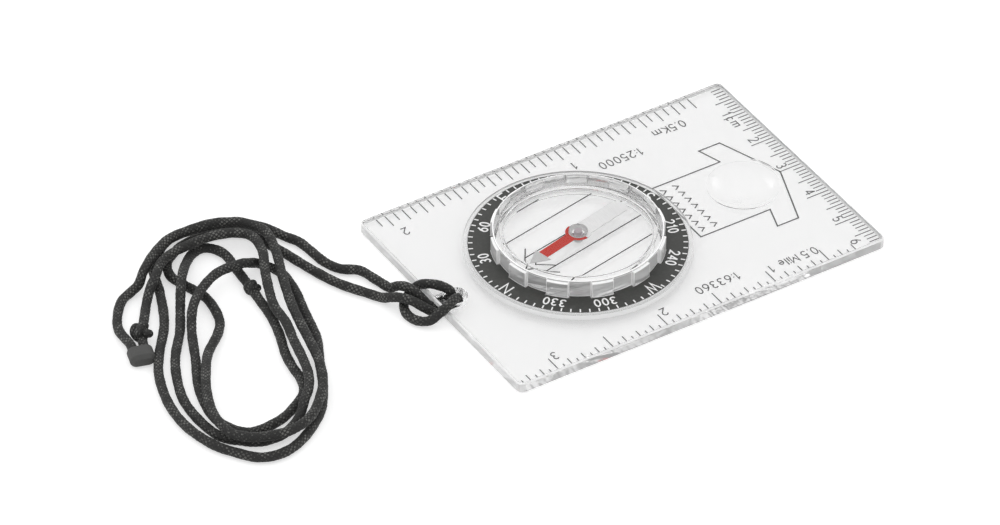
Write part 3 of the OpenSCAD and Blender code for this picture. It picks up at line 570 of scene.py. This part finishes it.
def welded_copy(name, node):
    """A node's own shape as one welded mesh, to be finished in the node's stead."""
    made = frame["nodes"][node].copy()
    made.data = frame["nodes"][node].data.copy()
    made.name = name
    made.parent = None
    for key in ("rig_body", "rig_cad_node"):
        del made[key]
    made.data.materials.clear()
    bpy.context.scene.collection.objects.link(made)
    choose(made)
    bpy.ops.object.mode_set(mode="EDIT")
    bpy.ops.mesh.select_all(action="SELECT")
    bpy.ops.mesh.remove_doubles(threshold=weld)
    bpy.ops.mesh.dissolve_limited(angle_limit=math.radians(flat_within))
    bpy.ops.object.mode_set(mode="OBJECT")
    return made


rubber = Finish(bpy.data.materials.new("grey_rubber"))
grain = rubber.noise(rubber.place(), grain_scale, grain_detail)
rubber.done(
    rubber.node(
        "ShaderNodeBsdfPrincipled",
        inputs={
            "Base Color": rubber.mix(grain, cap_dark, cap_colour),
            "Roughness": cap_rough + cap_rough_grain * grain,
            "Normal": rubber.node(
                "ShaderNodeBump",
                inputs={"Strength": grain_bump, "Distance": grain_depth, "Height": grain},
            ),
        },
    )
)
end_cap = welded_copy("end_cap", "cord_end_cap")
bpy.ops.object.mode_set(mode="EDIT")
bpy.ops.mesh.select_all(action="DESELECT")
bpy.ops.mesh.edges_select_sharp(sharpness=math.radians(corner_from))
bpy.ops.mesh.bevel(
    offset=cap_round, segments=cap_round_steps, affect="EDGES", clamp_overlap=True
)
bpy.ops.object.mode_set(mode="OBJECT")
bpy.ops.object.shade_smooth_by_angle(angle=math.radians(cap_smooth))
end_cap.data.materials.append(rubber.owner)
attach(end_cap, "plate")
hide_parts("cord_end_cap")
for name, far_end, with_pieces in (
    ("hitch", "object", []),
    ("strand_a", "fitting", [end_cap, tied_ends, tied_coil]),
    ("strand_b", "object", []),
):
    line = lines_of_cord[name]
    length_of(line)


# Base plate
# One clear acrylic moulding with polished sides and matt bevels. The lens, the dial's bore, the
# cord hole and the relief under the back edge are part of it.

plastic_refraction = 1.49
flow_scale, flow_detail = 90, 2
scratch_turn, scratch_stretch = 0.6, 24
scratch_scale, scratch_detail = 160, 3
scratch_from, scratch_to = 0.62, 0.8
mould_relief = 0.2 * MM
white_rough, white_rough_flow = 0.35, 0.1


def clear_finish(
    name,
    colour,
    refraction,
    haze=0.02,
    ripple=0.02,
    frosted=None,
    frost=0.75,
    blur=0.04,
    raised=None,
):
    """Clear moulded plastic, with faint scratches and the slight ripple that its mould leaves.

    frosted gives the share of each place that is cut or left matt, and of each edge painted white
    as a highlight; frost how white it is there, and raised the height of lines that stand up from
    it.
    """
    f = Finish(bpy.data.materials.new(name))
    place = f.place()
    flow = f.noise(place, flow_scale, flow_detail)
    height = ripple * flow
    if raised:
        height = height + raised(f, place)
    relief = f.node("ShaderNodeBump", inputs={"Distance": mould_relief, "Height": height})
    rough = 0
    if haze:
        drawn_out = f.node(
            "ShaderNodeMapping",
            inputs={
                "Vector": place,
                "Rotation": (0, 0, scratch_turn),
                "Scale": (1, scratch_stretch, 1),
            },
        )
        scratches = f.noise(drawn_out, scratch_scale, scratch_detail)
        rough = haze * f.clipped(scratches, scratch_from, scratch_to)
    if frosted:
        # Share of matt, and of painted highlight, at each place
        matt = frosted(f, place)
        if blur:
            rough = rough + blur * matt
    clear = f.node(
        "ShaderNodeBsdfPrincipled",
        inputs={
            "Base Color": (*colour, 1),
            "Roughness": rough,
            "Transmission Weight": 1.0,
            "IOR": refraction,
            "Normal": relief,
        },
    )
    if not frosted:
        return f.done(clear)
    # White for the matt places, and for the painted highlights on the dial's edges
    white = f.node(
        "ShaderNodeBsdfPrincipled",
        inputs={
            "Base Color": (1, 1, 1, 1),
            "Roughness": white_rough + white_rough_flow * flow,
            "Normal": relief,
        },
    )
    return f.done(f.node("ShaderNodeMixShader", inputs={0: frost * matt, 1: clear, 2: white}))


# Walls that meet at less than this, in degrees, look like one curve
moulded_smooth = 12


def smooth(piece, within):
    """Smooth walls up to this angle, with the flat faces kept flat up to their rims."""
    choose(piece)
    bpy.ops.object.shade_smooth_by_angle(angle=math.radians(within))
    modifier = piece.modifiers.new("weighted_normal", "WEIGHTED_NORMAL")
    modifier.keep_sharp = True
    bpy.ops.object.modifier_apply(modifier=modifier.name)


def moulding(name, node, body):
    """A node's own shape with smooth walls, which stands for the node."""
    shown = welded_copy(name, node)
    smooth(shown, moulded_smooth)
    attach(shown, body)
    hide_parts(node)
    return shown


plate_half = Vector((30, 43, 0)) * MM
plate_t = 2.5 * MM
plate_corner = 1.5 * MM
# The matt bevel's inner and outer lines, from the plate's outline and from its faces
bevel_across = (-0.34 * MM, -0.32 * MM)
bevel_down = (0.35 * MM, 0.37 * MM)
side_across = (-0.04 * MM, -0.02 * MM)
end_fade = 0.1 * MM
# How matt the long sides are, and how much more the ends and corners
side_matt, end_matt = 0.5, 0.3


def cut_edges(f, place):
    """1 on the plate's matt bevels, less on its ends and corners, and least on its long sides."""
    beyond = [
        f.math(
            "MAXIMUM",
            f.math("ABSOLUTE", f.part(place, axis)) - (half - plate_corner),
            0,
        )
        for axis, half in (("X", plate_half.x), ("Y", plate_half.y))
    ]
    out = f.math("SQRT", beyond[0] * beyond[0] + beyond[1] * beyond[1]) - plate_corner
    bevel = f.clipped(out, *bevel_across)
    side = f.clipped(out, *side_across)
    end = f.clipped(beyond[1], 0, end_fade)
    z = f.part(place, "Z")
    level = f.math(
        "MAXIMUM",
        f.clipped(z, plate_t - bevel_down[1], plate_t - bevel_down[0]),
        1 - f.clipped(z, *bevel_down),
    )
    return bevel * level + (side_matt + end_matt * end) * side * (1 - level)


def from_axis(f, place, axis):
    """Level offset of each place from an upright axis, and its length."""
    away = f.node("ShaderNodeVectorMath", {"operation": "SUBTRACT"}, {0: place, 1: axis})
    level = f.node("ShaderNodeVectorMath", {"operation": "MULTIPLY"}, {0: away, 1: (1, 1, 0)})
    return level, f.node(
        "ShaderNodeVectorMath", {"operation": "LENGTH"}, {0: level}, output="Value"
    )


lens_middle = Vector((0, 28.8, 0)) * MM
lens_radius = 7.4 * MM
lens_line = 0.22 * MM
lens_line_height = 0.25


def lens_rim(f, place):
    """The fine line that the mould's insert leaves round the lens."""
    r = from_axis(f, place, lens_middle)[1]
    return lens_line_height * (
        f.clipped(r, lens_radius - lens_line, lens_radius)
        - f.clipped(r, lens_radius, lens_radius + lens_line)
    )


plate = moulding("plate", "base_plate", "plate")
plate.data.materials.append(
    clear_finish(
        "clear_acrylic",
        (0.96, 0.96, 0.96),
        plastic_refraction,
        frosted=cut_edges,
        blur=0,
        raised=lens_rim,
    )
)


# Printing
# Dark grey ink screened onto the plate's underside, so that it reads through the plastic: the
# ruler, the two map scales, the travel arrow and its chevrons.

ink_scale, ink_detail = 1800, 3
ink_thin_from, ink_thin_to = 0.45, 0.75
ink_rough, ink_rough_cover = 0.45, 0.2


def ink_finish(name, colour, wear, gloss=0.5):
    """Screened ink, a little thinner in places. Under plastic or liquid it has hardly any gloss."""
    f = Finish(bpy.data.materials.new(name))
    cover = f.noise(f.place(), ink_scale, ink_detail)
    pale = [min(1, c + wear) for c in colour]
    return f.done(
        f.node(
            "ShaderNodeBsdfPrincipled",
            inputs={
                "Base Color": f.mix(f.clipped(cover, ink_thin_from, ink_thin_to), colour, pale),
                "Roughness": ink_rough + ink_rough_cover * cover,
                "Specular IOR Level": gloss,
            },
        )
    )


def refinish(material, *nodes):
    for name in nodes:
        frame["nodes"][name].data.materials.clear()
        frame["nodes"][name].data.materials.append(material)


under_gloss = 0.05
refinish(
    ink_finish("grey_ink", (0.12, 0.12, 0.12), 0.06, under_gloss),
    "cm_scale",
    "km_scale",
    "mile_scale",
    "travel_arrow",
    "travel_chevrons",
)


# Dial
# The dial's clear moulding: a flange with a raised rim, a hub that turns in the plate, a grip wall
# with twelve lugs and the capsule's wall, floor and cover, which are welded to it. A split ring in
# its groove holds it to the plate.

dial_axis = Vector((0, -10.4, 0)) * MM
dial_profile = [
    (0, 0.35), (15.15, 0.35), (15.15, 0.15), (16.53, 0.15), (16.53, 0.4), (16.18, 0.4),
    (16.18, 0.95), (16.53, 0.95), (16.53, 2.65), (23, 2.65), (22.85, 3.65), (21.9, 3.65),
    (21.9, 3.45), (16.8, 3.45), (16.8, 7), (17, 7), (17, 7.5), (15.78, 7.5), (15.7, 7.3),
    (15.58, 7.5), (0, 7.5),
]
lug_profile = [(16.6, 3.35), (17.5, 3.35), (17.5, 7.03), (16.6, 7.03)]
dial_edge = 0.07 * MM
lug_edge = 0.2 * MM
lugs = 12
lug_sweep = 15
dial_north = -76.5
dial_steps, lug_steps = 192, 8
dial_edge_steps = 2
turned_smooth = 30


def outline(name, profile, filled):
    """The profile's points (radius, height), in millimetres, as a line of edges by the axis."""
    shape = bmesh.new()
    dots = [shape.verts.new(dial_axis + Vector((r, 0, z)) * MM) for r, z in profile]
    for a, b in zip(dots, dots[1:]):
        shape.edges.new((a, b))
    if filled:
        shape.faces.new(dots)
    mesh = bpy.data.meshes.new(name)
    shape.to_mesh(mesh)
    shape.free()
    made = bpy.data.objects.new(name, mesh)
    bpy.context.scene.collection.objects.link(made)
    choose(made)
    return made


def turned(name, profile, steps, edge, edge_steps):
    """A full turn of the profile about the dial's axis, with each of its corners rounded."""
    made = outline(name, profile, filled=False)
    bpy.ops.object.mode_set(mode="EDIT")
    shape = bmesh.from_edit_mesh(made.data)
    for v in shape.verts:
        v.select_set(len(v.link_edges) == 2)
    bmesh.update_edit_mesh(made.data)
    bpy.ops.mesh.bevel(
        offset=edge, segments=edge_steps, affect="VERTICES", clamp_overlap=True
    )
    bpy.ops.mesh.select_all(action="SELECT")
    bpy.ops.mesh.spin(steps=steps, angle=2 * math.pi, center=dial_axis, axis=(0, 0, 1))
    bpy.ops.mesh.select_all(action="SELECT")
    bpy.ops.mesh.remove_doubles(threshold=weld)
    bpy.ops.mesh.normals_make_consistent(inside=False)
    bpy.ops.object.mode_set(mode="OBJECT")
    return made


dial = turned("dial_moulding", dial_profile, dial_steps, dial_edge, dial_edge_steps)
lug_ring = outline("lug", lug_profile, filled=True)
bpy.ops.object.mode_set(mode="EDIT")
bpy.ops.mesh.select_all(action="SELECT")
lug_start = math.radians(dial_north - lug_sweep / 2)
bpy.ops.transform.rotate(value=-lug_start, orient_axis="Z", center_override=dial_axis)
bpy.ops.mesh.spin(
    steps=lug_steps, angle=-math.radians(lug_sweep), center=dial_axis, axis=(0, 0, 1)
)
bpy.ops.mesh.select_all(action="SELECT")
bpy.ops.mesh.remove_doubles(threshold=weld)
bpy.ops.mesh.fill_holes(sides=len(lug_profile))
bpy.ops.mesh.normals_make_consistent(inside=False)
bpy.ops.mesh.select_all(action="DESELECT")
bpy.ops.mesh.edges_select_sharp(sharpness=math.radians(corner_from))
bpy.ops.mesh.bevel(offset=lug_edge, segments=dial_edge_steps, affect="EDGES")
bpy.ops.mesh.select_all(action="SELECT")
bpy.ops.mesh.spin(
    steps=lugs - 1,
    dupli=True,
    angle=2 * math.pi * (lugs - 1) / lugs,
    center=dial_axis,
    axis=(0, 0, 1),
)
bpy.ops.object.mode_set(mode="OBJECT")
choose(dial)
union = dial.modifiers.new("boolean", "BOOLEAN")
union.operation = "UNION"
union.solver = "EXACT"
union.object = lug_ring
bpy.ops.object.modifier_apply(modifier=union.name)
bpy.data.objects.remove(lug_ring)
smooth(dial, turned_smooth)

# Where each matt place and each painted highlight begins and ends: radii and heights, and degrees
# from a lug's end
grip_from, grip_above = (16.7 * MM, 16.76 * MM), (3.5 * MM, 3.6 * MM)
grip_to = (21.4 * MM, 21.5 * MM)
rim_from, rim_above = (16.7 * MM, 16.8 * MM), (7.34 * MM, 7.4 * MM)
lug_top_z, lug_top_band = 6.98 * MM, (0.1 * MM, 0.16 * MM)
foot_below = (3.65 * MM, 3.8 * MM)
lug_end_band = (0.4, 0.7)
border_from, wall_from = (21.86 * MM, 21.92 * MM), (22.8 * MM, 22.86 * MM)
# How white each place is: matt on the grip, border and wall, and a painted highlight on the edges
grip_matt, edge_painted_highlight, border_matt, wall_matt = 0.5, 0.75, 0.2, 1.1


def matt_and_painted_highlights(f, place):
    """How matt the mould leaves each place, and where highlights are painted white on its edges.

    The flange's outer wall is most so, then the painted highlights along the edges of the lugs and
    of the rim, then the grip, and the flange's clear border least.
    """
    across, r = from_axis(f, place, dial_axis)
    z = f.part(place, "Z")
    bearing = f.math("ARCTAN2", f.part(across, "Y"), f.part(across, "X"))
    # Degrees from the middle of the nearest lug
    pitches = lugs * bearing / (2 * math.pi) + (0.5 - dial_north * lugs / 360)
    from_lug = f.math("ABSOLUTE", f.math("FRACT", pitches) - 0.5) * (360 / lugs)
    lug_end = 1 - f.clipped(f.math("ABSOLUTE", from_lug - lug_sweep / 2), *lug_end_band)
    lug_top = 1 - f.clipped(f.math("ABSOLUTE", z - lug_top_z), *lug_top_band)
    foot = 1 - f.clipped(z, *foot_below)
    grip = f.clipped(r, *grip_from) * f.clipped(z, *grip_above) * (1 - f.clipped(r, *grip_to))
    rim = f.clipped(z, *rim_above) * f.clipped(r, *rim_from)
    # Painted highlights: white bands along the lugs' ends, foot and top, and round the rim
    lug_highlight_frame = f.math("MAXIMUM", f.math("MAXIMUM", lug_end, foot), lug_top)
    edges = f.math("MAXIMUM", rim, grip * lug_highlight_frame)
    border = f.clipped(r, *border_from)
    wall = f.clipped(r, *wall_from)
    return grip_matt * grip + edge_painted_highlight * edges + border_matt * border + wall_matt * wall


dial.data.materials.append(
    clear_finish(
        "clear_dial", (0.998, 0.998, 0.998), plastic_refraction, ripple=0.01, frosted=matt_and_painted_highlights
    )
)
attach(dial, "dial")
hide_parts("bezel_ring", "capsule_body", "capsule_cover")
split_ring = moulding("split_ring", "retaining_ring", "dial")
split_ring.data.materials.append(
    clear_finish("clear_split_ring", (0.97, 0.97, 0.97), plastic_refraction)
)


# Dial ring
# A black ring that lies in the flange's recess. Its degrees and the letters of the four winds are
# printed on it in white.

refinish(ink_finish("black_dial", (0.033, 0.034, 0.031), 0.015), "dial_ring")
refinish(ink_finish("white_print", (0.86, 0.86, 0.86), 0.05), "dial_marks")


# Capsule's filling
# Clear damping liquid fills the capsule, so it shows as a second surface inside the moulding. Lines
# for the map's north are printed on the floor under it.

liquid_refraction = 1.42
liquid_profile = [(0, 1.5), (15, 1.5), (15, 7), (0, 7)]
liquid_edge, liquid_edge_steps = 0.25 * MM, 3
liquid = turned("liquid", liquid_profile, dial_steps, liquid_edge, liquid_edge_steps)
smooth(liquid, turned_smooth)
liquid.data.materials.append(
    clear_finish(
        "damping_liquid",
        (1, 1, 1),
        liquid_refraction / plastic_refraction,
        haze=0,
        ripple=0.005,
    )
)
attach(liquid, "dial")

refinish(
    ink_finish("floor_ink", (0.035, 0.035, 0.035), 0.02, under_gloss),
    "north_lines",
    "orienting_arrow",
)


# Needle
# A stamped steel blade painted red to the north and silver to the south. It turns on a steel pin in
# a clear cap that holds the jewel.

# The rolled lines run along the needle, where their pattern is drawn out to this scale
rolled_turn, rolled_stretch = math.radians(76.5), 0.05
rolled_scale, rolled_detail = 9000, 2
rolled_dark, rolled_rough = 0.8, 0.15


def metal_finish(name, colour, rough, metal):
    """Rolled steel with fine lines along it."""
    f = Finish(bpy.data.materials.new(name))
    drawn_out = f.node(
        "ShaderNodeMapping",
        inputs={
            "Vector": f.place(),
            "Rotation": (0, 0, rolled_turn),
            "Scale": (rolled_stretch, 1, 1),
        },
    )
    lines = f.noise(drawn_out, rolled_scale, rolled_detail)
    return f.done(
        f.node(
            "ShaderNodeBsdfPrincipled",
            inputs={
                "Base Color": f.mix(lines, colour, [c * rolled_dark for c in colour]),
                "Metallic": metal,
                "Roughness": rough + rolled_rough * lines,
            },
        )
    )


refinish(metal_finish("blade_steel", (0.87, 0.87, 0.87), 0.4, 0.45), "needle_blade", "pivot_pin")
refinish(ink_finish("red_paint", (0.85, 0.025, 0.004), 0.01, under_gloss), "needle_north_paint")
refinish(metal_finish("silver_paint", (0.98, 0.98, 0.98), 0.3, 0.95), "needle_south_paint")
refinish(ink_finish("jewel_stone", (0.86, 0.76, 0.81), 0.08), "jewel_bearing")
refinish(ink_finish("white_foot", (0.93, 0.93, 0.93), 0.03, under_gloss), "pivot_foot")

# A small dark spot near the needle's south tip
spot_place = dial_axis + Vector((-3.64, 12.47, 5.11)) * MM
spot_radius = 0.18 * MM
spot_depth = 0.02 * MM
spot_sides = 32
bpy.ops.object.select_all(action="DESELECT")
bpy.ops.mesh.primitive_cylinder_add(vertices=spot_sides, radius=spot_radius, depth=spot_depth)
spot = bpy.context.object
spot.name = "needle_spot"
bpy.ops.object.mode_set(mode="EDIT")
bpy.ops.transform.translate(value=spot_place)
bpy.ops.object.mode_set(mode="OBJECT")
spot.data.materials.append(ink_finish("dark_spot", (0.02, 0.02, 0.02), 0.01, under_gloss))
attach(spot, "needle")

# The clear cap on the needle's middle, a shallow dome
cap_refraction = 1.2
cap_profile = [(0, 5.06), (1.9, 5.06), (1.9, 6.9), (0, 6.9)]
cap_steps = 64
dome_edge, dome_edge_steps = 0.88 * MM, 10
dome_smooth = 40
needle_cap = turned("needle_cap_dome", cap_profile, cap_steps, dome_edge, dome_edge_steps)
smooth(needle_cap, dome_smooth)
needle_cap.data.materials.append(
    clear_finish("clear_cap", (1, 1, 1), cap_refraction, ripple=0.01)
)
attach(needle_cap, "needle")
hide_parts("needle_cap")
